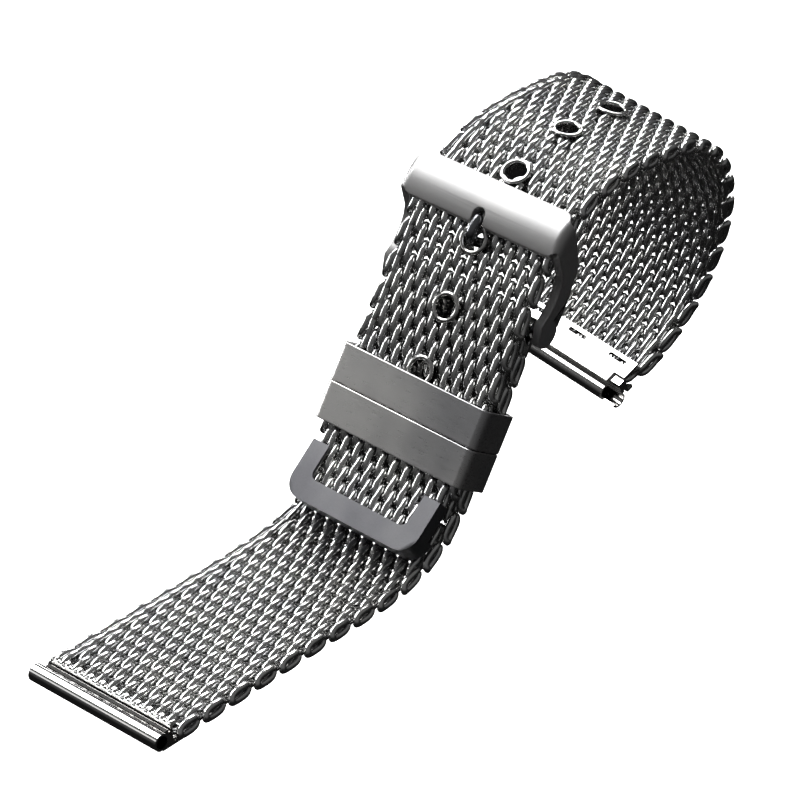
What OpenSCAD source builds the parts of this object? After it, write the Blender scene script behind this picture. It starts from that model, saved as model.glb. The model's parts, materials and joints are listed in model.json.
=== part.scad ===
// Woven stainless steel watch bracelet, two straps, fastened with a pin buckle.
// Each strap is a chain of flattened spring coils, every coil threaded through the next.
// Millimetres. The short strap lies flat along +X from its lug tube, whose bore is the origin.
// +Y runs along the bores, +Z is away from the wrist.

/* [Mesh] */
// Wire thickness of the coils
wire_d = 0.64; // [0.6:0.01:0.66]
// Thickness of the woven band
mesh_t = 2.1; // [2.05:0.05:2.3]
// Distance from one turn of a coil to the next
loop_pitch = 1.83; // [1.8:0.01:1.86]
// Distance from one coil to the next
row_pitch = 1.935; // [1.9:0.005:1.98]
// How far neighbouring coils reach into each other
reach = 1.25; // [1.15:0.05:1.35]
// Turns of the wide coils; the coils between them have one less
turns = 11; // [11, 13]

/* [Lug ends] */
// Outside of the rolled lug tube
tube_d = 2.1; // [2:0.05:2.3]
// Bore for a 1.5 mm spring bar
tube_bore = 1.55; // [1.5:0.05:1.6]
// Length of the lug tube, for 20 mm lugs
tube_len = 19.8; // [19.4:0.1:19.8]
// Sheet of the end plates
plate_t = 0.4; // [0.3:0.05:0.5]

/* [Buckle] */
// Pin bar
pin_d = 1.4; // [1.2:0.1:1.5]
// Wire of the tang
tang_d = 1.2; // [1:0.1:1.3]
// Width of the front bar along the strap
bar_w = 5.6; // [4.8:0.1:6]
// Thickness of the front bar
bar_t = 1.1; // [0.8:0.1:1.3]

/* [Keepers] */
// Length of one keeper along the strap
keeper_len = 4.6; // [4:0.1:4.7]
// Sheet of the keepers
keeper_t = 0.4; // [0.3:0.05:0.5]

/* [Hidden] */
$fn = 72;

// Coils: two straight strands a turn, joined by bends that lean half a turn sideways
half_t = mesh_t / 2;
half_h = (mesh_t - wire_d) / 2;
bend_r = norm([half_h, loop_pitch / 4]);
leg = (row_pitch + reach) / 2 - bend_r;
tilt = atan2(loop_pitch / 4, half_h);
half_loop = leg + bend_r + wire_d / 2;
nest = 0.05;
seat = 0.02;

// Rows of the two straps and the first row of each length that moves as one
short_rows = [-4, 0, 4, 8, 12, 16, 20, 24, 27, 30];
long_rows = [-12, -8, -4, 0, 4, 8, 12, 17, 22, 26, 30, 34, 38, 41, 44];
cap_rows = [-12, -10];

// Rest shape: bend of each link in degrees, upward on the short strap, downward on the long
short_bend = [[8, 0], [11, 1.6], [14.5, 7.7], [17.5, 9], [20.5, 0]];
tail_bend = [[-10.2, 0], [-9.6, 9.2], [-8, 9.2], [-7.6, 0]];
long_bend = [[3, 0], [5, 4.2], [7, 7.2], [10, 6.7], [13, 4.7], [16, 2.3], [18.5, 0.5],
    [19.3, 6.3], [31, 6.2], [32, 5.8], [43, 5.7]];
short_twist = 0.34;
long_twist = 0.4;
tail_twist = 0.42;
inner_yaw = 0.2;
rest_tilt = 0.7;

// Lug ends, measured outward from the last row
tube_x = 4.1;
tube_z = 0.3;
plate_len = 4.6;
plate_w = 18.6;
slot_l = 2.9;
slot_w = 0.6;
slot_step = 6.7;
notch_l = 2.2;
strip_lip = 0.6;

// Eyelets, by row of the long strap
eyelet_rows = [-3, 1, 5.2, 9.7, 14.4, 18.9];
eyelet_d = 3.7;
eyelet_bore = 2.5;
barrel_d = 3;
rim_h = 0.22;

// Overlap of the straps and the buckle
layer_gap = mesh_t + rim_h + 0.14;
overlap_row = 28.724;
pin_x = 3.1;
pin_tube_d = 2.2;
pin_clear = 0.1;
eye_d = 2.2;
eye_w = 2.4;
eye_slot = 3;
arm_t = 1.1;
arm_y = 10.25;
arm_end_d = 3.6;
arm_neck = 2.2;
arm_cheek = 3.2;
neck_from = 4;
neck_to = 8;
bar_r = 6.5;
bar_row = 7.3;
bar_lift = 0.55;
bar_corner = 1.4;
bar_over = 0.2;
bar_root = 0.34;
notch_w = 1.7;
notch_d = 1.9;

keeper_w = 22;
keeper_r = 0.9;
keeper_rows = [-3.35, -5.78];

cap_t = 0.4;
cap_len = 7;
cap_base = 2.75;
cap_arm = 2.4;
cap_r = 2.4;
cap_half = 9.75;

// Frames along the straps
function shift(x, y = 0, z = 0) = [[1, 0, 0, x], [0, 1, 0, y], [0, 0, 1, z], [0, 0, 0, 1]];
function roll(a) = [[1, 0, 0, 0], [0, cos(a), -sin(a), 0], [0, sin(a), cos(a), 0], [0, 0, 0, 1]];
function pitch(a) = [[cos(a), 0, sin(a), 0], [0, 1, 0, 0], [-sin(a), 0, cos(a), 0], [0, 0, 0, 1]];
function yaw(a) = [[cos(a), -sin(a), 0, 0], [sin(a), cos(a), 0, 0], [0, 0, 1, 0], [0, 0, 0, 1]];
function link(twist, down, side) =
    shift(row_pitch / 2) * roll(twist) * pitch(down) * yaw(side) * shift(row_pitch / 2);
function short_step(k) =
    link(k > 8 && k < 20.5 ? short_twist : 0, -lookup(k, short_bend), 0);
function long_step(k) =
    link(k > 3 ? long_twist : 0, lookup(k, long_bend), k > 31 ? -inner_yaw : 0);

short_start = pitch(rest_tilt) * shift(tube_x, 0, -tube_z);
short_frames = [for (k = short_rows[0], m = short_start; k < 32;
    m = m * short_step(k + 0.5), k = k + 1) m];
function short_at(k) =
    short_frames[floor(k) - short_rows[0]] * shift((k - floor(k)) * row_pitch);

long_start = short_at(overlap_row) * shift(0, 0, layer_gap);
long_up = [for (k = 0, m = long_start; k < 45; m = m * long_step(k + 0.5), k = k + 1) m];
long_down = [for (k = 0, m = long_start; k > -14;
    m = m * shift(-row_pitch / 2) * pitch(lookup(k - 0.5, tail_bend))
        * roll(k > -8 ? 0 : -tail_twist) * shift(-row_pitch / 2),
    k = k - 1) m];
function long_row(k) = k < 0 ? long_down[-k] : long_up[k];
function long_at(k) = long_row(floor(k)) * shift((k - floor(k)) * row_pitch);
function eyelet_at(k) = long_at(k) * pitch((k - floor(k)) * lookup(floor(k) + 0.5, long_bend));

pin_frame = short_at(29) * shift(pin_x);

// Where one frame's origin lies in another's X and Z
function seen_from(m, other) =
    let (d = [for (i = [0 : 2]) other[i][3] - m[i][3]])
    [for (c = [0, 2]) m[0][c] * d[0] + m[1][c] * d[1] + m[2][c] * d[2]];

// One flattened coil
module strand(y, z)
    translate([-leg - nest, y, z]) rotate([0, 90, 0])
        cylinder(d = wire_d - seat, h = 2 * (leg + nest));

module bend(side, y, from = -90, sweep = 180)
    translate([side * leg, y, 0]) rotate([side * tilt, 0, 0]) rotate([90, 0, 0])
        scale([side, 1, side]) rotate([0, 0, from])
            rotate_extrude(angle = sweep) translate([bend_r, 0]) circle(d = wire_d);

module coil(n)
    for (i = [0 : n - 1]) {
        y = (i - (n - 1) / 2) * loop_pitch - loop_pitch / 4;
        strand(y, half_h);
        bend(1, y + loop_pitch / 4);
        strand(y + loop_pitch / 2, -half_h);
        if (i < n - 1) bend(-1, y + loop_pitch * 3 / 4);
    }

function coil_turns(k) = (turns - abs(k) % 2) - (k >= cap_rows[0] && k <= cap_rows[1] && k % 2 == 0 ? 2 : 0);

module short_mesh(i)
    color("silver") for (k = [short_rows[i - 1] : short_rows[i] - 1])
        multmatrix(short_at(k)) coil(turns - abs(k) % 2);

module long_mesh(i)
    color("silver") difference() {
        for (k = [long_rows[i - 1] : long_rows[i] - 1]) multmatrix(long_at(k)) coil(coil_turns(k));
        for (e = eyelet_rows) if (e > long_rows[i - 1] && e < long_rows[i])
            multmatrix(eyelet_at(e)) cylinder(d = barrel_d + 2 * nest, h = 2 * mesh_t, center = true);
    }

// Rolled tube with a slotted plate that lies on the inner face of the last rows
module lug_end(notched = false) {
    neck_x = tube_x - tube_d / 2;
    difference() {
        union() {
            translate([tube_x, 0, tube_z]) rotate([90, 0, 0])
                cylinder(d = tube_d, h = tube_len, center = true);
            translate([neck_x, -plate_w / 2, -half_t - seat - plate_t])
                cube([plate_t, plate_w, half_t + seat + plate_t + tube_z]);
            translate([tube_x - plate_len, -plate_w / 2, -half_t - seat - plate_t])
                cube([plate_len - tube_d / 2 + plate_t / 2, plate_w, plate_t]);
        }
        translate([tube_x, 0, tube_z]) rotate([90, 0, 0])
            cylinder(d = tube_bore, h = tube_len + 1, center = true);
        for (s = [-1 : 1]) translate([slot_w / 2, s * slot_step, -half_t]) {
            cube([slot_w, slot_l - slot_w, 2 * mesh_t], center = true);
            for (e = [-1, 1]) translate([0, e * (slot_l - slot_w) / 2, 0])
                cylinder(d = slot_w, h = 2 * mesh_t, center = true);
        }
        if (notched) translate([tube_x - tube_d, -tube_len / 2 - 1, tube_z - tube_d])
            cube([2 * tube_d, notch_l + 1, tube_d]);
    }
}

// Flattened loop ends, pressed into one strip along the last row
module edge_strip() {
    strip_x = half_loop + seat;
    strip_l = tube_x - tube_d / 2 - seat - strip_x;
    translate([strip_x, -plate_w / 2, -half_t]) cube([strip_l, plate_w, mesh_t + seat + nest]);
    translate([strip_x - strip_lip, -plate_w / 2, half_t + seat])
        cube([strip_l + strip_lip, plate_w, plate_t / 2]);
}

module short_lug_end()
    color("gainsboro") multmatrix(short_at(-4)) mirror([1, 0, 0]) lug_end();

module short_edge_strip()
    color("white") multmatrix(short_at(-4)) mirror([1, 0, 0]) edge_strip();

module long_lug_end()
    color("gainsboro") multmatrix(long_at(43)) lug_end(true);

module long_edge_strip()
    color("white") multmatrix(long_at(43)) edge_strip();

// Folded sheet around the end of the long strap, open over the middle of the mesh
module cap_outline(half, r, x)
    translate([x, 0]) {
        translate([r, -half]) square([cap_len, 2 * half]);
        translate([0, -half + r]) square([r + seat, 2 * (half - r)]);
        for (s = [-1, 1]) translate([r, s * (half - r)]) circle(r);
    }

module tip_cap() {
    tip_x = -half_loop - nest - cap_t;
    face = half_t + nest;
    color("darkgray") multmatrix(long_at(-12)) difference() {
        intersection() {
            translate([0, 0, -face - cap_t]) linear_extrude(2 * (face + cap_t))
                cap_outline(cap_half, cap_r, tip_x);
            translate([tip_x - 1, -cap_half - 1, -mesh_t]) cube([cap_len + 1, 2 * cap_half + 2, 2 * mesh_t]);
        }
        translate([0, 0, -face]) linear_extrude(2 * face)
            cap_outline(cap_half - cap_t, cap_r - cap_t, tip_x + cap_t);
        translate([tip_x + cap_base, -cap_half + cap_arm, 0])
            cube([cap_len, 2 * (cap_half - cap_arm), mesh_t]);
        translate([tip_x + cap_base, -cap_half - 1, -2 * mesh_t])
            cube([cap_len, 2 * cap_half + 2, 2 * mesh_t - face / 2]);
    }
}

// Rolled eyelet: a barrel with a rounded rim on each face, the inner one clear of the bowed mesh
module eyelet(i) {
    sag = eyelet_d ^ 2 / 5 * lookup(eyelet_rows[i - 1], long_bend) / row_pitch * PI / 180;
    rim_x = (eyelet_d + eyelet_bore) / 4;
    rim_w = (eyelet_d - eyelet_bore) / 2;
    color("gainsboro") multmatrix(eyelet_at(eyelet_rows[i - 1])) rotate_extrude() {
        translate([eyelet_bore / 2, -half_t - seat - sag - rim_h / 2])
            square([(barrel_d - eyelet_bore) / 2, mesh_t + 2 * seat + sag + rim_h]);
        for (s = [0, 1]) mirror([0, s]) translate([rim_x, half_t + seat + s * sag]) {
            translate([-rim_w / 2, 0]) square([rim_w, rim_h / 2]);
            translate([-rim_w / 2 + rim_h / 2, 0]) square([rim_w - rim_h, rim_h]);
            for (e = [-1, 1]) translate([e * (rim_w - rim_h) / 2, rim_h / 2]) circle(d = rim_h);
        }
    }
}

// Closed bands around both straps
module keeper_profile(w, low, high, r) {
    for (s = [-1, 1], z = [low + r, high - r]) translate([s * (w / 2 - r), z]) circle(r);
    translate([-w / 2 + r, low]) square([w - 2 * r, high - low]);
    translate([-w / 2, low + r]) square([w, high - low - 2 * r]);
}

module keeper(i) {
    high = half_t + rim_h + 0.12;
    low = -layer_gap - half_t - 0.06;
    color("silver") multmatrix(long_at(keeper_rows[i])) rotate([90, 0, -90]) linear_extrude(keeper_len)
        difference() {
            keeper_profile(keeper_w, low - keeper_t, high + keeper_t, keeper_r);
            keeper_profile(keeper_w - 2 * keeper_t, low, high, keeper_r - keeper_t);
        }
}

// End of the short strap: a tube in two lengths on a plate, with room for the tang between them
module pin_end()
    color("gainsboro") multmatrix(short_at(29)) difference() {
        union() {
            translate([pin_x, 0, 0]) rotate([90, 0, 0])
                cylinder(d = pin_tube_d, h = tube_len, center = true);
            translate([pin_x - pin_tube_d / 2, -plate_w / 2, -half_t - seat - plate_t])
                cube([plate_t, plate_w, half_t + seat + plate_t]);
            translate([pin_x - plate_len + 1, -plate_w / 2, -half_t - seat - plate_t])
                cube([plate_len - 1 - pin_tube_d / 2 + plate_t / 2, plate_w, plate_t]);
        }
        translate([pin_x, 0, 0]) rotate([90, 0, 0])
            cylinder(d = pin_d + pin_clear, h = tube_len + 1, center = true);
        translate([pin_x - pin_tube_d / 2 - nest, -eye_slot / 2, -mesh_t])
            cube([2 * pin_tube_d, eye_slot, 2 * mesh_t]);
    }

module pin_bar()
    color("dimgray") multmatrix(pin_frame) rotate([90, 0, 0])
        cylinder(d = pin_d, h = 2 * (arm_y + arm_t) - 0.4, center = true);

// Tang: an eye on the pin bar, then wire that runs under the long strap and up through an eyelet
module tang() {
    run_z = 0.25;
    up_x = 6.35;
    turn_r = 1;
    top_z = layer_gap + half_t + rim_h + 0.6;
    tip_l = 1.6;
    color("dimgray") multmatrix(pin_frame) {
        difference() {
            union() {
                rotate([90, 0, 0]) cylinder(d = eye_d, h = eye_w, center = true);
                translate([0, 0, run_z]) rotate([0, 90, 0])
                    cylinder(d = tang_d - seat, h = up_x - turn_r + nest);
                translate([up_x - turn_r, 0, run_z + turn_r]) rotate([90, 0, 0]) rotate([0, 0, -90])
                    rotate_extrude(angle = 90) translate([turn_r, 0]) circle(d = tang_d);
                translate([up_x, 0, run_z + turn_r - nest])
                    cylinder(d = tang_d - seat, h = top_z - run_z - 2 * turn_r + 2 * nest);
                translate([up_x + turn_r, 0, top_z - turn_r]) rotate([90, 0, 0]) rotate([0, 0, 80])
                    rotate_extrude(angle = 100) translate([turn_r, 0]) circle(d = tang_d);
                translate([up_x + turn_r, 0, top_z - turn_r]) rotate([0, 100, 0])
                    translate([-turn_r, 0, -nest]) {
                        cylinder(d = tang_d - seat, h = tip_l);
                        translate([0, 0, tip_l]) sphere(d = tang_d - seat);
                    }
            }
            rotate([90, 0, 0]) cylinder(d = pin_d + pin_clear, h = 2 * eye_w, center = true);
        }
    }
}

// Buckle frame: a bowed front bar on two side arms that turn on the pin bar
module bar_outline(half) {
    square([bar_w - 2 * bar_corner, 2 * half], center = true);
    square([bar_w, 2 * (half - bar_corner)], center = true);
    for (x = [-1, 1], y = [-1, 1])
        translate([x * (bar_w / 2 - bar_corner), y * (half - bar_corner)]) circle(bar_corner);
}

module arm_outline(pin, top) {
    run = norm(pin - top);
    dir = (pin - top) / run;
    side = [-dir[1], dir[0]];
    low = -bar_lift / 2 - bar_t / 2;
    translate(pin) circle(d = arm_end_d);
    polygon([top, top + [-bar_root * bar_w, low], top + dir * neck_from - side * arm_neck / 2,
        top + dir * neck_to - side * arm_neck / 2, pin - side * arm_cheek / 2,
        pin + side * arm_cheek / 2, top + dir * neck_to + side * arm_neck / 2,
        top + dir * neck_from + side * arm_neck / 2, top + [bar_root * bar_w, low]]);
}

module buckle_frame() {
    bar_angle = 2 * asin(bar_w / 2 / bar_r);
    bow = half_t + bar_lift + bar_t - bar_r;
    bar_at = long_at(bar_row);
    half = arm_y + arm_t + bar_over;
    pin_at = seen_from(bar_at, pin_frame);
    color("whitesmoke") difference() {
        multmatrix(bar_at) {
            intersection() {
                translate([0, 0, bow]) rotate([90, 0, 0])
                    rotate([0, 0, 90 - bar_angle / 2]) rotate_extrude(angle = bar_angle)
                        translate([bar_r - bar_t, -half - 1]) square([bar_t, 2 * half + 2]);
                linear_extrude(2 * mesh_t) bar_outline(half);
            }
            for (s = [-1, 1]) translate([0, s * (arm_y + arm_t / 2), 0]) rotate([90, 0, 0])
                linear_extrude(arm_t, center = true)
                    arm_outline(pin_at, [0, half_t + bar_lift + bar_t * 0.8]);
        }
        multmatrix(pin_frame) rotate([90, 0, 0])
            cylinder(d = pin_d + pin_clear, h = 4 * arm_y, center = true);
        multmatrix(bar_at) translate([-bar_w / 2 - 1, -notch_w / 2, -mesh_t])
            cube([1 + notch_d - notch_w / 2, notch_w, 3 * mesh_t]);
        multmatrix(bar_at) translate([-bar_w / 2 + notch_d - notch_w / 2, 0, -mesh_t])
            cylinder(d = notch_w, h = 3 * mesh_t);
    }
}

short_mesh(1);  // short_mesh_1
short_mesh(2);  // short_mesh_2
short_mesh(3);  // short_mesh_3
short_mesh(4);  // short_mesh_4
short_mesh(5);  // short_mesh_5
short_mesh(6);  // short_mesh_6
short_mesh(7);  // short_mesh_7
short_mesh(8);  // short_mesh_8
short_mesh(9);  // short_mesh_9
long_mesh(1);  // long_mesh_1
long_mesh(2);  // long_mesh_2
long_mesh(3);  // long_mesh_3
long_mesh(4);  // long_mesh_4
long_mesh(5);  // long_mesh_5
long_mesh(6);  // long_mesh_6
long_mesh(7);  // long_mesh_7
long_mesh(8);  // long_mesh_8
long_mesh(9);  // long_mesh_9
long_mesh(10);  // long_mesh_10
long_mesh(11);  // long_mesh_11
long_mesh(12);  // long_mesh_12
long_mesh(13);  // long_mesh_13
long_mesh(14);  // long_mesh_14
short_lug_end();
short_edge_strip();
long_lug_end();
long_edge_strip();
tip_cap();
eyelet(1);  // eyelet_1
eyelet(2);  // eyelet_2
eyelet(3);  // eyelet_3
eyelet(4);  // eyelet_4
eyelet(5);  // eyelet_5
eyelet(6);  // eyelet_6
keeper(0);  // keeper_upper
keeper(1);  // keeper_lower
pin_end();
pin_bar();
tang();
buckle_frame();
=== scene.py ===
import json
import math

import bmesh
import bpy
import numpy as np
from mathutils import Euler, Matrix, Vector


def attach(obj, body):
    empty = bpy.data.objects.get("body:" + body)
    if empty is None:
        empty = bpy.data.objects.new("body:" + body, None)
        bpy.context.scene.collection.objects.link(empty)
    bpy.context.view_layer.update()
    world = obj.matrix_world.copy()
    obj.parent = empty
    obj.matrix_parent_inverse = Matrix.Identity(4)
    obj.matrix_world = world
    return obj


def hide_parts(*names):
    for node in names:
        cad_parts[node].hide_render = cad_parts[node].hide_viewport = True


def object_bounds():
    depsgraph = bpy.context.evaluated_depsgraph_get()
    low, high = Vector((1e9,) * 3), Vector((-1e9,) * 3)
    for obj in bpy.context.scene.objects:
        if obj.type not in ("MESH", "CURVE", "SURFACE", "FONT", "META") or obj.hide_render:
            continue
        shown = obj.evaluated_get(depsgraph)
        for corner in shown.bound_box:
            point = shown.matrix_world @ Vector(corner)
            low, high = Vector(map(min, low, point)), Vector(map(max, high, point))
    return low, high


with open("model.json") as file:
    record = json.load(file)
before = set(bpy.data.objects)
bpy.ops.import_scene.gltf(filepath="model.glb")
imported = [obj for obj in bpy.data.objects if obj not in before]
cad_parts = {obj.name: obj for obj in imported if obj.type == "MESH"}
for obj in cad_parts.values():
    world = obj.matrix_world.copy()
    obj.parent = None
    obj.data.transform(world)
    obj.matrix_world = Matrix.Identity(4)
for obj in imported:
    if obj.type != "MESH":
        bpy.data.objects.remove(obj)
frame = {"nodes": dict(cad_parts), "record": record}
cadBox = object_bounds()
mm = 0.001

# Sizes that the straps share, in millimetres
mesh = {
    "pitch": 1.83, "row": 1.935, "reach": 1.25, "thick": 2.1, "turns": 11,
    "tipRows": (-12, -10), "tipLess": 2,
    "wire": 0.84, "ease": 0.115, "sides": 10, "steps": 12, "bow": 2.35, "hook": 11,
}
halfThick = mesh["thick"] / 2
# The first row of each length of mesh, then the row after the last
weave = {
    "short": [-4, 0, 4, 8, 12, 16, 20, 24, 27, 30],
    "long": [-12, -8, -4, 0, 4, 8, 12, 17, 22, 26, 30, 34, 38, 41, 44],
}
# Where the straps lie: bends and twists in degrees from one row to the next, bends by row
straps = {
    "tubeX": 4.1, "tubeZ": 0.3, "restTilt": 0.7, "overlapRow": 28.724, "layerGap": 2.46,
    "shortTwist": 0.34, "shortTwistRows": (8, 20.5), "longTwist": 0.4, "longTwistFrom": 3,
    "tailTwist": 0.42, "tailTwistFrom": -8, "innerYaw": 0.2, "innerFrom": 31, "pinRow": 29, "pinX": 3.1,
    "shortBend": [(8, 0), (11, 1.6), (14.5, 7.7), (17.5, 9), (20.5, 0)],
    "tailBend": [(-10.2, 0), (-9.6, 9.2), (-8, 9.2), (-7.6, 0)],
    "longBend": [(3, 0), (5, 4.2), (7, 7.2), (10, 6.7), (13, 4.7), (16, 2.3), (18.5, 0.5),
                 (19.3, 6.3), (31, 6.2), (32, 5.8), (43, 5.7)],
}


def shift(x, y=0.0, z=0.0):
    m = np.eye(4)
    m[:3, 3] = (x, y, z)
    return m


def turn(axis, degrees):
    m = np.eye(4)
    m[:3, :3] = np.array(Matrix.Rotation(math.radians(degrees), 3, axis))
    return m


def lookup(k, table):
    return float(np.interp(k, [a for a, _ in table], [b for _, b in table]))


def linkStep(twist, down, side):
    half = shift(mesh["row"] / 2)
    return half @ turn("X", twist) @ turn("Y", down) @ turn("Z", side) @ half


def shortStep(k):
    first, last = straps["shortTwistRows"]
    return linkStep(straps["shortTwist"] if first < k < last else 0, -lookup(k, straps["shortBend"]), 0)


def longStep(k):
    return linkStep(straps["longTwist"] if k > straps["longTwistFrom"] else 0,
                    lookup(k, straps["longBend"]), -straps["innerYaw"] if k > straps["innerFrom"] else 0)


rows = {"short": {}, "long": {}}
m = turn("Y", straps["restTilt"]) @ shift(straps["tubeX"], 0, -straps["tubeZ"])
for k in range(weave["short"][0], weave["short"][-1] + 2):
    rows["short"][k] = m
    m = m @ shortStep(k + 0.5)


def at(strap, k):
    whole = math.floor(k)
    return rows[strap][whole] @ shift((k - whole) * mesh["row"])


m = at("short", straps["overlapRow"]) @ shift(0, 0, straps["layerGap"])
for k in range(0, weave["long"][-1] + 2):
    rows["long"][k] = m
    m = m @ longStep(k + 0.5)
m = rows["long"][0]
for k in range(0, weave["long"][0] - 2, -1):
    rows["long"][k] = m
    m = m @ shift(-mesh["row"] / 2) @ turn("Y", lookup(k - 0.5, straps["tailBend"]))
    m = m @ turn("X", 0 if k > straps["tailTwistFrom"] else -straps["tailTwist"]) @ shift(-mesh["row"] / 2)
pinFrame = at("short", straps["pinRow"]) @ shift(straps["pinX"])


def eyeletAt(row):
    whole = math.floor(row)
    return at("long", row) @ turn("Y", (row - whole) * lookup(whole + 0.5, straps["longBend"]))


# Materials; both noises lie mostly between the values in spread
spread = {"cloud": (0.35, 0.65), "grain": (0.3, 0.7)}


def srgb(code):
    parts = [int(code[i:i + 2], 16) / 255 for i in (1, 3, 5)]
    return tuple(c / 12.92 if c <= 0.04045 else ((c + 0.055) / 1.055) ** 2.4 for c in parts) + (1.0,)


def addNode(tree, kind, inputs=None, **settings):
    made = tree.nodes.new(kind)
    for key, value in settings.items():
        setattr(made, key, value)
    for key, value in (inputs or {}).items():
        if isinstance(value, bpy.types.NodeSocket):
            tree.links.new(value, made.inputs[key])
        else:
            made.inputs[key].default_value = value
    return made


def ramp(tree, source, places, colours):
    made = addNode(tree, "ShaderNodeValToRGB", {"Fac": source})
    for element, place, colour in zip(made.color_ramp.elements, places, colours):
        element.position = place
        element.color = colour
    return made.outputs["Color"]


def metal(name, look):
    made = bpy.data.materials.new(name)
    made.use_nodes = True
    tree = made.node_tree
    shader = tree.nodes["Principled BSDF"]
    place = addNode(tree, "ShaderNodeTexCoord").outputs["Object"]
    stretched = addNode(tree, "ShaderNodeMapping", {"Vector": place, "Scale": look["grain"]})
    grain = addNode(tree, "ShaderNodeTexNoise", {
        "Vector": stretched.outputs["Vector"], "Scale": 1.0, "Detail": 3.0, "Roughness": 0.6})
    cloud = addNode(tree, "ShaderNodeTexNoise", {"Vector": place, "Scale": look["cloud"], "Detail": 2.0})
    colour = ramp(tree, cloud.outputs["Fac"], spread["cloud"], (srgb(look["dark"]), srgb(look["light"])))
    rough = addNode(tree, "ShaderNodeMapRange", {
        "Value": grain.outputs["Fac"], "From Min": spread["grain"][0], "From Max": spread["grain"][1],
        "To Min": look["rough"][0], "To Max": look["rough"][1]})
    bump = addNode(tree, "ShaderNodeBump", {
        "Height": grain.outputs["Fac"], "Strength": look["bump"], "Distance": look["depth"]})
    shader.inputs["Metallic"].default_value = 1.0
    tree.links.new(colour, shader.inputs["Base Color"])
    tree.links.new(rough.outputs["Result"], shader.inputs["Roughness"])
    tree.links.new(bump.outputs["Normal"], shader.inputs["Normal"])
    return made


finishes = {
    "wire": {"grain": (2500, 2500, 2500), "cloud": 180, "dark": "#c6c6c7", "light": "#d6d6d4",
             "rough": (0.12, 0.24), "bump": 0.15, "depth": 0.00002},
    "satin": {"grain": (9000, 300, 9000), "cloud": 75, "dark": "#a0a0a2", "light": "#cdccca",
              "rough": (0.26, 0.38), "bump": 0.25, "depth": 0.00002},
    "brushed": {"grain": (9000, 300, 9000), "cloud": 60, "dark": "#a4a4a5", "light": "#b0afae",
                "rough": (0.4, 0.48), "bump": 0.15, "depth": 0.00001},
    "matt": {"grain": (5000, 5000, 5000), "cloud": 120, "dark": "#58585b", "light": "#68686a",
             "rough": (0.4, 0.52), "bump": 0.3, "depth": 0.00002},
    "polished": {"grain": (1500, 1500, 1500), "cloud": 60, "dark": "#cbcbca", "light": "#d6d5d3",
                 "rough": (0.06, 0.13), "bump": 0.05, "depth": 0.00001},
    "dark": {"grain": (3000, 3000, 3000), "cloud": 150, "dark": "#6f7073", "light": "#828386",
             "rough": (0.14, 0.24), "bump": 0.1, "depth": 0.00001},
}
materials = {name: metal(name + "Steel", look) for name, look in finishes.items()}


# Mesh helpers; points in millimetres
def addPiece(name, points, faces, finish, body, replaced, angle=None):
    data = bpy.data.meshes.new(name)
    data.from_pydata((np.asarray(points, float) * mm).tolist(), [], faces)
    data.validate()
    piece = bpy.data.objects.new(name, data)
    bpy.context.scene.collection.objects.link(piece)
    data.materials.append(materials[finish])
    data.shade_smooth()
    if angle is not None:
        data.set_sharp_from_angle(angle=math.radians(angle))
    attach(piece, body)
    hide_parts(*replaced)
    return piece


def moved(points, matrix):
    return np.asarray(points) @ matrix[:3, :3].T + matrix[:3, 3]


def tube(path, radius, sides):
    # Rings along a path; no path starts along this sideways direction
    sideways = (0.31, 0.87, 0.38)
    path = np.asarray(path, float)
    tangents = np.gradient(path, axis=0)
    tangents /= np.linalg.norm(tangents, axis=1)[:, None]
    normal = np.cross(tangents[0], sideways)
    normal /= np.linalg.norm(normal)
    angles = np.arange(sides) * 2 * math.pi / sides
    radii = np.broadcast_to(radius, (len(path),))
    rings = []
    for point, tangent, r in zip(path, tangents, radii):
        normal = normal - tangent * normal.dot(tangent)
        normal /= np.linalg.norm(normal)
        other = np.cross(tangent, normal)
        rings.append(point + r * (np.outer(np.cos(angles), normal) + np.outer(np.sin(angles), other)))
    n = len(path)
    faces = [(a + j, a + (j + 1) % sides, a + sides + (j + 1) % sides, a + sides + j)
             for a in range(0, (n - 1) * sides, sides) for j in range(sides)]
    faces += [tuple(range(sides - 1, -1, -1)), tuple(range((n - 1) * sides, n * sides))]
    return np.concatenate(rings), faces


def joined(parts):
    points, faces, start = [], [], 0
    for p, f in parts:
        points.append(p)
        faces += [tuple(i + start for i in face) for face in f]
        start += len(p)
    return np.concatenate(points), faces


# Woven coils: a flattened helix, bowed on its faces, whose strands lean less than its bends
def coilPath(turns):
    high = (mesh["thick"] - mesh["wire"]) / 2
    long = (mesh["row"] + mesh["reach"]) / 2
    steps = mesh["steps"]
    path = []
    first, last = -math.pi / 2, (2 * turns - 0.5) * math.pi
    for i in range(-steps // 2 - mesh["hook"], (2 * turns - 1) * steps + steps // 2 + mesh["hook"] + 1):
        a = math.pi * i / steps
        c, s = math.cos(a), math.sin(a)
        power = 2 / mesh["bow"]
        folded = a - 2 * min(0, a - first) - 2 * max(0, a - last)
        y = mesh["pitch"] * folded / (2 * math.pi) - mesh["ease"] * math.sin(2 * folded)
        path.append((long * math.copysign(abs(s) ** power, s), y, high * math.copysign(abs(c) ** power, c)))
    path = np.array(path)
    path[:, 1] -= (path[0, 1] + path[-1, 1]) / 2
    return path


def coilTurns(strap, k):
    less = mesh["tipLess"] if strap == "long" and k in mesh["tipRows"] else 0
    return mesh["turns"] - abs(k) % 2 - less


paths = {n: coilPath(n) for n in (mesh["turns"] - mesh["tipLess"], mesh["turns"] - 1, mesh["turns"])}
coils = {n: tube(p, mesh["wire"] / 2, mesh["sides"]) for n, p in paths.items()}

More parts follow.
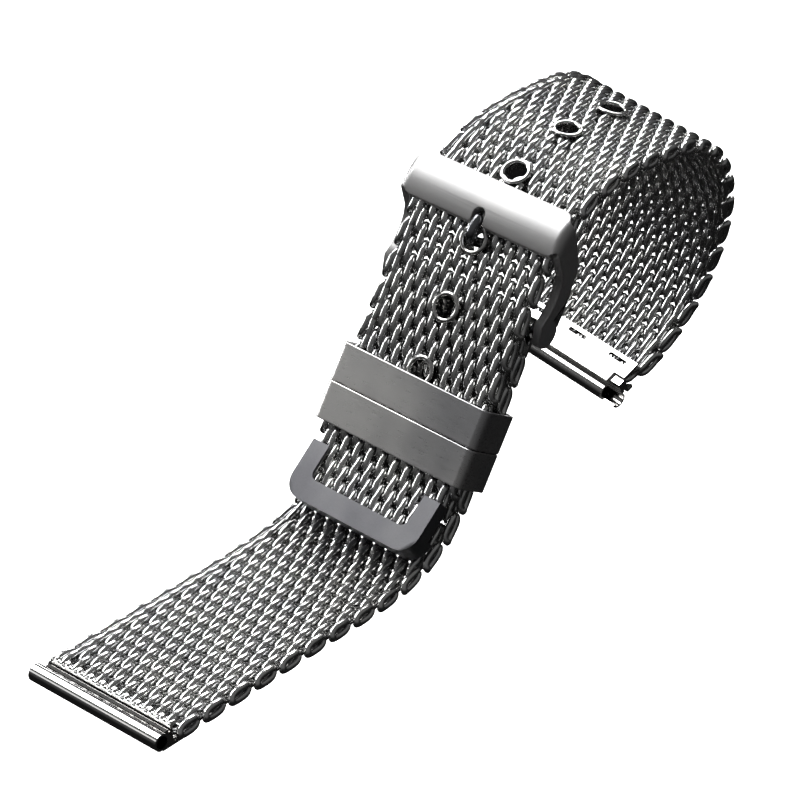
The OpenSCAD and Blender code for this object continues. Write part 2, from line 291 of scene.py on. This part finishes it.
# Eyelet rows and sizes, and how the coils around an eyelet are cut back from its barrel
eyelets = {"rows": [-3, 1, 5.2, 9.7, 14.4, 18.9], "outer": 3.7, "bore": 2.5, "barrel": 3.0, "rim": 0.22,
           "swell": 1.15, "seat": 0.02, "sink": 0.05, "sagShare": 5, "reach": 1.9, "step": 0.15, "clear": 0.1,
           "fewest": 3, "rimPoints": 9}


def cutCoil(strap, k, holes):
    path = moved(paths[coilTurns(strap, k)], at(strap, k))
    fine = [path[0]]
    for a, b in zip(path[:-1], path[1:]):
        count = max(1, int(np.linalg.norm(b - a) / eyelets["step"]))
        fine += [a + (b - a) * (i + 1) / count for i in range(count)]
    fine = np.array(fine)
    inside = np.zeros(len(fine), bool)
    for row in holes:
        local = moved(fine, np.linalg.inv(eyeletAt(row)))
        inside |= np.hypot(local[:, 0], local[:, 1]) < eyelets["barrel"] / 2 + eyelets["clear"]
    parts, run = [], []
    for point, hidden in list(zip(fine, inside)) + [(None, True)]:
        if hidden:
            if len(run) > eyelets["fewest"]:
                parts.append(tube(run, mesh["wire"] / 2, mesh["sides"]))
            run = []
        else:
            run.append(point)
    return joined(parts)


# The body that each node rides on
nodeBody = {}
for bodyName, nodes in frame["record"]["behaviour"]["bodies"].items():
    for nodeName in nodes:
        nodeBody[nodeName] = bodyName

# Each length of mesh is one piece
for strap, starts in weave.items():
    for i, (first, after) in enumerate(zip(starts[:-1], starts[1:])):
        nodeName = f"{strap}_mesh_{i + 1}"
        parts = []
        for k in range(first, after):
            holes = [e for e in eyelets["rows"] if strap == "long" and abs(e - k) < eyelets["reach"]]
            if holes:
                parts.append(cutCoil(strap, k, holes))
            else:
                points, faces = coils[coilTurns(strap, k)]
                parts.append((moved(points, at(strap, k)), faces))
        addPiece(f"woven_{strap}_{i + 1}", *joined(parts), "wire", nodeBody[nodeName], (nodeName,))
print("coils made", flush=True)


# Rounded loops, plates and bands
def arc(centre, radius, start, end, steps):
    return [(centre[0] + radius * math.cos(math.radians(start + (end - start) * i / steps)),
             centre[1] + radius * math.sin(math.radians(start + (end - start) * i / steps)))
            for i in range(steps + 1)]


def roundedBox(low, high, radius, steps=4, support=0.0):
    # Anticlockwise from the lower right, with points close beside each corner
    (x0, y0), (x1, y1) = low, high
    corners = (((x1 - radius, y0 + radius), -90), ((x1 - radius, y1 - radius), 0),
               ((x0 + radius, y1 - radius), 90), ((x0 + radius, y0 + radius), 180))
    loop = []
    for centre, start in corners:
        part = arc(centre, radius, start, start + 90, steps)
        if support:
            a, b = math.radians(start), math.radians(start + 90)
            part.insert(0, (part[0][0] + support * math.sin(a), part[0][1] - support * math.cos(a)))
            part.append((part[-1][0] - support * math.sin(b), part[-1][1] + support * math.cos(b)))
        loop += part
    return loop


def ringFaces(count, around, closed):
    faces = []
    for i in range(count if closed else count - 1):
        a, b = i * around, ((i + 1) % count) * around
        faces += [(a + j, a + (j + 1) % around, b + (j + 1) % around, b + j) for j in range(around)]
    return faces


def revolved(profile, steps=64):
    points = []
    for i in range(steps):
        a = 2 * math.pi * i / steps
        points += [(r * math.cos(a), r * math.sin(a), z) for r, z in profile]
    return np.array(points), ringFaces(steps, len(profile), True)


def band(loop, section):
    # Section points are along X and outward; the loop is a closed path in Y and Z
    loop = np.array(loop)
    ahead = np.roll(loop, -1, axis=0) - loop
    behind = loop - np.roll(loop, 1, axis=0)
    run = ahead / np.linalg.norm(ahead, axis=1)[:, None] + behind / np.linalg.norm(behind, axis=1)[:, None]
    run /= np.linalg.norm(run, axis=1)[:, None]
    points = []
    for (y, z), (ty, tz) in zip(loop, run):
        points += [(u, y + v * tz, z - v * ty) for u, v in section]
    return np.array(points), ringFaces(len(loop), len(section), True)


def plate(outline, low, high, bevel, cutsX=(), cutsY=()):
    bm = bmesh.new()
    face = bm.faces.new([bm.verts.new((x, y, low)) for x, y in outline])
    grown = bmesh.ops.extrude_face_region(bm, geom=[face])
    bmesh.ops.translate(bm, vec=(0, 0, high - low),
                        verts=[g for g in grown["geom"] if isinstance(g, bmesh.types.BMVert)])
    bmesh.ops.recalc_face_normals(bm, faces=bm.faces)
    level = 1e-6
    rims = [e for e in bm.edges if abs(e.verts[0].co.z - e.verts[1].co.z) < level]
    bmesh.ops.bevel(bm, geom=rims, offset=bevel, segments=3, profile=0.5, affect="EDGES", clamp_overlap=True)
    for axis, cuts in ((0, cutsX), (1, cutsY)):
        for c in cuts:
            point, normal = [0, 0, 0], [0, 0, 0]
            point[axis], normal[axis] = c, 1
            bmesh.ops.bisect_plane(bm, geom=bm.verts[:] + bm.edges[:] + bm.faces[:],
                                   plane_co=point, plane_no=normal)
    bmesh.ops.triangulate(bm, faces=[f for f in bm.faces if len(f.verts) > 4])
    bm.verts.index_update()
    points = np.array([v.co[:] for v in bm.verts])
    faces = [tuple(v.index for v in f.verts) for f in bm.faces]
    bm.free()
    return points, faces


def weighted(piece):
    modifier = piece.modifiers.new("weighted", "WEIGHTED_NORMAL")
    modifier.keep_sharp = True
    return piece


# Eyelets: rolled rims on both faces of a barrel
def eyeletProfile(sag):
    inner, outer = eyelets["bore"] / 2, eyelets["outer"] / 2
    mid, half = (inner + outer) / 2, (outer - inner) / 2
    top = halfThick + eyelets["seat"]
    upper = [(mid + half * math.cos(a), top + eyelets["rim"] * eyelets["swell"] * math.sin(a))
             for a in np.linspace(0, math.pi, eyelets["rimPoints"])]
    lower = [(r, -z - sag) for r, z in reversed(upper)]
    wall = [(eyelets["barrel"] / 2, z * (halfThick - eyelets["sink"])) for z in (-1, 1)]
    return upper + lower + wall


for i, row in enumerate(eyelets["rows"]):
    nodeName = f"eyelet_{i + 1}"
    sag = (eyelets["outer"] ** 2 / eyelets["sagShare"]
           * math.radians(lookup(row, straps["longBend"])) / mesh["row"])
    eyeletPoints, eyeletFaces = revolved(eyeletProfile(sag))
    addPiece(f"rolled_{nodeName}", moved(eyeletPoints, eyeletAt(row)), eyeletFaces, "polished",
             nodeBody[nodeName], (nodeName,))

# Keepers: closed bands of brushed sheet with bevelled rims
keeper = {"wide": 22, "sheet": 0.4, "corner": 0.9, "length": 4.6, "rows": [-3.35, -5.78], "rim": 0.13,
          "high": 1.39, "low": -3.57, "rimSteps": 3, "rimSupport": 0.02, "turnSteps": 8, "turnSupport": 0.05}
section = [(u - keeper["length"], v - keeper["sheet"] / 2) for u, v in
           roundedBox((0, 0), (keeper["length"], keeper["sheet"]), keeper["rim"],
                      keeper["rimSteps"], keeper["rimSupport"])]
middle = keeper["sheet"] / 2
loop = roundedBox((-keeper["wide"] / 2 + middle, keeper["low"] - middle),
                  (keeper["wide"] / 2 - middle, keeper["high"] + middle), keeper["corner"] - middle,
                  keeper["turnSteps"], keeper["turnSupport"])
points, faces = band(loop, section)
for name, row in (("keeper_upper", keeper["rows"][0]), ("keeper_lower", keeper["rows"][1])):
    addPiece(f"brushed_{name}", moved(points, at("long", row)), faces, "satin", nodeBody[name], (name,))

# Buckle: one blank whose ends turn down into the arms
buckle = {"width": 5.6, "sheet": 1.1, "row": 7.3, "lift": 0.55, "bow": 6.5, "half": 11.5, "turn": 1.15,
          "neck": 2.35, "eye": 3.5, "sag": 0.9, "notch": 1.7, "notchDepth": 1.9, "rim": 0.22,
          "root": 0.95, "flare": 0.8, "from": 0.12, "along": 0.8, "rootZ": 0.2, "straight": 0.9,
          "notchLip": 0.25, "notchSteps": 8, "eyeArc": (-40, 205, 18), "slice": 0.28, "slices": 20,
          "bendSlice": 0.3, "bendSlices": 10,
          # Shoulders, in from the bar's edge and on from the bend
          "shoulder": [(0.08, -0.6), (0.3, -0.1), (0.7, 0.35), (1.15, 0.8), (1.45, 1.5), (1.9, 2.6)],
          "notchShoulder": [(0.75, 1.1), (0.4, 0.5), (0.12, 0), (0, -0.6)]}
barFrame = at("long", buckle["row"])
pinLocal = (np.linalg.inv(barFrame) @ pinFrame @ np.array((0, 0, 0, 1)))[:3]
crown = halfThick + buckle["lift"] + buckle["sheet"]


def armSide(top, pin, sign, steps=7):
    run = pin - top
    length = np.linalg.norm(run)
    ahead = run / length
    low = np.array((-ahead[1], ahead[0]))
    edge = []
    for i in range(steps + 1):
        t = i / steps
        spread = (buckle["eye"] - buckle["neck"]) / 2 * buckle["flare"]
        wide = buckle["neck"] / 2 + spread * max(0, 2 * t - 1) ** 2
        root = buckle["root"] * max(0, 1 - 2 * t) ** 2
        swing = 4 * buckle["sag"] * t * (1 - t)
        edge.append(top + ahead * (buckle["from"] + buckle["along"] * t) * length
                    + low * (sign * (wide + root) + swing))
    return edge


def buckleBlank():
    half, r = buckle["half"], buckle["turn"]
    flat = half - r
    down = r * math.pi / 2
    top = np.array((0.0, buckle["rootZ"] - down))
    pin = np.array((pinLocal[0], pinLocal[2] - crown + r))
    wide = buckle["width"] / 2
    right = [(wide, flat / 2), (wide, flat - buckle["straight"])]
    lowEdge = armSide(top, pin, 1)
    highEdge = armSide(top, pin, -1)
    eyeAt = np.array((pin[0], flat + down - pin[1]))
    eyeArc = arc(eyeAt, buckle["eye"] / 2, *buckle["eyeArc"])
    arm = [(x, flat + down - z) for x, z in lowEdge[1:]]
    back = [(x, flat + down - z) for x, z in reversed(highEdge[2:])]
    shoulder = [(wide - x, flat + y) for x, y in buckle["shoulder"]]
    notchShoulder = [(-wide + x, flat + y) for x, y in buckle["notchShoulder"]]
    upper = right + shoulder + arm + eyeArc[1:-1] + back + notchShoulder
    notch, lip = buckle["notch"] / 2, buckle["notchLip"]
    notchHalf = [(-wide, notch + lip), (-wide + lip, notch)]
    notchHalf += arc((-wide + buckle["notchDepth"] - notch, 0), notch, 90, 0, buckle["notchSteps"])
    lowerHalf = [(x, -y) for x, y in reversed(upper)]
    return upper + notchHalf + [(x, -y) for x, y in reversed(notchHalf[:-1])] + lowerHalf


def bendBuckle(points):
    half, r = buckle["half"], buckle["turn"]
    flat = half - r
    out = points.copy()
    y = np.abs(points[:, 1])
    sign = np.sign(points[:, 1])
    past = np.clip(y - flat, 0, None)
    fade = np.clip(1 - past / (r * math.pi / 2), 0, 1)
    drop = (buckle["bow"] - np.sqrt(np.clip(buckle["bow"] ** 2 - points[:, 0] ** 2, 0, None))) * fade
    level = points[:, 2] - drop
    turned = np.clip(past / r, 0, math.pi / 2)
    beyond = past - turned * r
    reachOut = r + level
    out[:, 1] = sign * (np.minimum(y, flat) + reachOut * np.sin(turned))
    out[:, 2] = crown - r + reachOut * np.cos(turned) - beyond
    return out


flatEnd = buckle["half"] - buckle["turn"]
points, faces = plate(buckleBlank(), -buckle["sheet"], 0, buckle["rim"],
                      [buckle["slice"] * i - buckle["width"] / 2 for i in range(1, buckle["slices"])],
                      [s * (flatEnd + buckle["bendSlice"] * i)
                       for s in (-1, 1) for i in range(buckle["bendSlices"])])
weighted(addPiece("bowed_buckle", moved(bendBuckle(points), barFrame), faces, "brushed",
                  nodeBody["buckle_frame"], ("buckle_frame",)))

# Tang: an eye on the pin and a rod that runs under the strap, up through an eyelet and into the notch
tang = {"rod": 1.2, "slim": 0.08, "runZ": 0.25, "upX": 6.35, "bend": 1.0, "topZ": 4.33, "tip": 1.6,
        "dip": -10, "runX": (0.78, 1.0, 3.2), "bore": 1.6, "eye": 2.2, "eyeWide": 2.4, "eyeRim": 0.15,
        "tipSteps": (0.4, 0.8, 1.0, 1.12, 1.2, 1.25), "roundFrom": 0.8, "thinnest": 0.02,
        "bendSteps": 8, "sides": 20, "eyeSteps": 40, "eyeRimSteps": 3, "eyeSupport": 0.02}
bendTop = tang["runZ"] + tang["bend"]
path = [(x, tang["runZ"]) for x in tang["runX"]]
path += arc((tang["upX"] - tang["bend"], bendTop), tang["bend"], -90, 0, tang["bendSteps"])
path += arc((tang["upX"] + tang["bend"], tang["topZ"] - tang["bend"]), tang["bend"],
            180, 90 + tang["dip"], tang["bendSteps"])
# The rod is slimmer up to its bend, and starts inside the eye
radii = [tang["rod"] / 2 - (tang["slim"] if z < bendTop else 0) for _, z in path]
radii[0] /= 2
last = np.array(path[-1])
ahead = np.array((math.cos(math.radians(tang["dip"])), math.sin(math.radians(tang["dip"]))))
for part in tang["tipSteps"]:
    worn = max(0, (part - tang["roundFrom"]) / (tang["tipSteps"][-1] - tang["roundFrom"]))
    path.append(tuple(last + ahead * tang["tip"] * part))
    radii.append(tang["rod"] / 2 * math.sqrt(max(tang["thinnest"], 1 - worn ** 2)))
rodPoints, rodFaces = tube([(x, 0, z) for x, z in path], np.array(radii), tang["sides"])
eyeLow, eyeHigh = (tang["bore"] / 2, -tang["eyeWide"] / 2), (tang["eye"] / 2, tang["eyeWide"] / 2)
eyeBox = roundedBox(eyeLow, eyeHigh, tang["eyeRim"], tang["eyeRimSteps"], tang["eyeSupport"])
eyePoints, eyeFaces = revolved(eyeBox, tang["eyeSteps"])
points, faces = joined([(rodPoints, rodFaces), (eyePoints[:, [0, 2, 1]], eyeFaces)])
addPiece("hooked_tang", moved(points, pinFrame), faces, "dark", nodeBody["tang"], ("tang",))

# Tip cap: a folded sheet with a window over the mesh; the edges that the cuts leave are bevelled, while its
# outer rims stay sharp
cap = {"sheet": 0.4, "length": 7, "base": 2.75, "arm": 2.4, "corner": 2.4, "half": 9.75, "window": 0.9,
       "gap": 0.05, "loopEnd": 0.32, "rim": 0.1, "sharp": 35, "past": 9, "wide": 12, "deep": 3, "open": 1,
       "row": -12, "cornerSteps": 10, "windowSteps": 5, "crisp": 1e-5, "rimSegments": 2}
tipX = -((mesh["row"] + mesh["reach"]) / 2 + cap["loopEnd"]) - cap["gap"] - cap["sheet"]
capFace = halfThick + cap["gap"] + cap["sheet"]


def capOutline(inset, end):
    x0, y1, r = tipX + inset, cap["half"] - inset, cap["corner"] - inset
    return ([(end, -y1), (end, y1)] + arc((x0 + r, y1 - r), r, 90, 180, cap["cornerSteps"])
            + arc((x0 + r, -y1 + r), r, 180, 270, cap["cornerSteps"]))


def solid(name, outline, low, high):
    points, faces = plate(outline, low, high, cap["crisp"])
    data = bpy.data.meshes.new(name)
    data.from_pydata(points.tolist(), [], faces)
    made = bpy.data.objects.new(name, data)
    bpy.context.scene.collection.objects.link(made)
    return made


def carve(body, cutters):
    for cutter in cutters:
        modifier = body.modifiers.new("cut", "BOOLEAN")
        modifier.operation, modifier.solver, modifier.object = "DIFFERENCE", "EXACT", cutter
    rims = body.modifiers.new("rims", "BEVEL")
    rims.width, rims.segments = cap["rim"], cap["rimSegments"]
    rims.limit_method, rims.angle_limit = "ANGLE", math.radians(cap["sharp"])
    bpy.context.view_layer.update()
    made = bpy.data.meshes.new_from_object(body.evaluated_get(bpy.context.evaluated_depsgraph_get()))
    points = np.array([v.co[:] for v in made.vertices])
    faces = [tuple(f.vertices) for f in made.polygons]
    for thing in [body] + cutters:
        bpy.data.objects.remove(thing)
    return points, faces


shell = solid("capBody", capOutline(0, tipX + cap["length"]), -capFace, capFace)
hollow = solid("capHollow", capOutline(cap["sheet"], tipX + cap["length"] + cap["open"]),
               -capFace + cap["sheet"], capFace - cap["sheet"])
innerX, innerY, r = tipX + cap["base"], cap["half"] - cap["arm"], cap["window"]
outerX, wide = innerX + cap["past"], cap["wide"]
opening = ([(outerX, -innerY), (outerX, innerY)]
           + arc((innerX + r, innerY - r), r, 90, 180, cap["windowSteps"])
           + arc((innerX + r, -innerY + r), r, 180, 270, cap["windowSteps"]))
window = solid("capWindow", opening, 0, cap["deep"])
under = solid("capUnder", [(innerX, -wide), (outerX, -wide), (outerX, wide), (innerX, wide)],
              -cap["deep"], -halfThick / 2)
points, faces = carve(shell, [hollow, window, under])
weighted(addPiece("folded_tip_cap", moved(points, at("long", cap["row"])), faces, "matt",
                  nodeBody["tip_cap"], ("tip_cap",)))


# Pressed edge strips: crushed loop ends over the last row, a groove, then a step up to the tube
strip = {"wide": 18.6, "from": 1.93, "to": 3.03, "ripple": 0.1, "wave": 0.22, "steps": 160, "sharp": 35,
         # The lip, then the groove: on from the strip's edge and up from the band's face
         "ridge": [(-0.6, -0.02), (-0.52, 0.2), (-0.35, 0.28), (0.1, 0.28), (0.3, 0.2), (0.4, -0.1),
                   (0.42, -0.6), (0.62, -0.6), (0.64, -0.2)]}


def stripPiece(name, nodeName, placed, mirrored):
    # The section starts with the lip, whose edge and top ripple with the loops
    x0, x1 = strip["from"], strip["to"]
    across = [(x0 + x, halfThick + z) for x, z in strip["ridge"]]
    across += [(x1, across[-1][1]), (x1, -halfThick), (x0, -halfThick), (x0, across[0][1])]
    points = []
    for i in range(strip["steps"] + 1):
        y = strip["wide"] * (i / strip["steps"] - 0.5)
        wave = math.cos(2 * math.pi * y / mesh["pitch"])
        for j, (x, z) in enumerate(across):
            ripple = strip["ripple"] * wave * (j in (1, 2, 3))
            edge = strip["wave"] * wave * (j in (0, 1, 2))
            points.append((-(x - edge) if mirrored else x - edge, y, z + ripple))
    count = len(across)
    faces = ringFaces(strip["steps"] + 1, count, False)
    faces += [tuple(range(count)), tuple(range(strip["steps"] * count, (strip["steps"] + 1) * count))]
    addPiece(name, moved(points, placed), faces, "polished", nodeBody[nodeName], (nodeName,), strip["sharp"])


stripPiece("crushed_short_strip", "short_edge_strip", at("short", weave["short"][0]), True)
stripPiece("crushed_long_strip", "long_edge_strip", at("long", weave["long"][-1] - 1), False)
print("pieces made", flush=True)

# Parts whose solids already have all their detail
carried = {"short_lug_end": "polished", "long_lug_end": "polished", "pin_end": "polished", "pin_bar": "dark"}
for nodeName, finish in carried.items():
    node = frame["nodes"][nodeName]
    node.data.materials.clear()
    node.data.materials.append(materials[finish])

# Floor, lights and camera; the floor lies below the straps when every link hangs at its limit
scene = bpy.context.scene
studio = {"floor": 6, "middle": 0.05, "hang": 0.0205, "rough": 0.9, "glow": 0.7,
          "wallHeight": (-0.2, 0.5), "wallLight": (0.01, 0.13)}
floorZ = min(cadBox[0][2], cadBox[1][2]) - studio["hang"]
bpy.ops.mesh.primitive_plane_add(size=studio["floor"], location=(studio["middle"], 0, floorZ))
floor = bpy.context.object
floor.name = "floor"
floorPaint = bpy.data.materials.new("floorPaint")
floorPaint.use_nodes = True
floorShader = floorPaint.node_tree.nodes["Principled BSDF"]
floorShader.inputs["Base Color"].default_value = srgb("#f4f4f4")
floorShader.inputs["Roughness"].default_value = studio["rough"]
floorShader.inputs["Emission Color"].default_value = srgb("#ffffff")
floorShader.inputs["Emission Strength"].default_value = studio["glow"]
floor.data.materials.append(floorPaint)

# The camera and the floor see a white studio; polished faces see a dark one with soft lights in it
world = bpy.data.worlds.new("studio")
scene.world = world
world.use_nodes = True
sky = world.node_tree
rays = addNode(sky, "ShaderNodeLightPath")
direction = addNode(sky, "ShaderNodeTexCoord").outputs["Generated"]
height = addNode(sky, "ShaderNodeSeparateXYZ", {"Vector": direction})
walls = addNode(sky, "ShaderNodeMapRange", {
    "Value": height.outputs["Z"], "From Min": studio["wallHeight"][0], "From Max": studio["wallHeight"][1],
    "To Min": studio["wallLight"][0], "To Max": studio["wallLight"][1]})
strength = addNode(sky, "ShaderNodeMix", {
    "Factor": rays.outputs["Is Glossy Ray"], "A": 1.0, "B": walls.outputs["Result"]})
sky.nodes["Background"].inputs["Color"].default_value = srgb("#ffffff")
sky.links.new(strength.outputs["Result"], sky.nodes["Background"].inputs["Strength"])
floor.visible_glossy = False

lights = {
    "topLight": {"place": (0.05, 0.46, 0.61), "size": (0.6, 0.5), "power": 7.5},
    "keeperLight": {"place": (-0.58, 0.6, 0.4), "size": (0.2, 0.2), "power": 0.14},
    "leftLight": {"place": (-0.1, 0.85, 0.14), "size": (0.3, 0.18), "power": 2.6},
    "backLight": {"place": (0.58, 0.68, 0.22), "size": (0.25, 0.16), "power": 1.3},
    "rightLight": {"place": (0.62, 0.25, 0.55), "size": (0.2, 0.3), "power": 2.4},
}
# Every light faces the overlap
centre = Vector((0.055, 0, 0.012))
for name, light in lights.items():
    lamp = bpy.data.lights.new(name, "AREA")
    lamp.shape = "RECTANGLE"
    lamp.size, lamp.size_y = light["size"]
    lamp.energy = light["power"]
    holder = bpy.data.objects.new(name, lamp)
    scene.collection.objects.link(holder)
    holder.location = light["place"]
    holder.rotation_euler = (centre - holder.location).to_track_quat("-Z", "Y").to_euler()

# Where the photograph was taken from, in metres and degrees; the lens and the film are in millimetres
viewpoint = {"place": (-0.197778, -0.241073, 0.228457), "degrees": (58.20572, 2.44607, -47.11478),
             "lens": 161.9, "film": 36, "nearest": 0.01}
view = bpy.data.cameras.new("camera")
view.lens = viewpoint["lens"]
view.sensor_width = viewpoint["film"]
view.clip_start = viewpoint["nearest"]
camera = bpy.data.objects.new("camera", view)
scene.collection.objects.link(camera)
turned = Euler([math.radians(angle) for angle in viewpoint["degrees"]])
camera.matrix_world = Matrix.LocRotScale(Vector(viewpoint["place"]), turned, None)
scene.camera = camera
scene.view_settings.view_transform = "Standard"
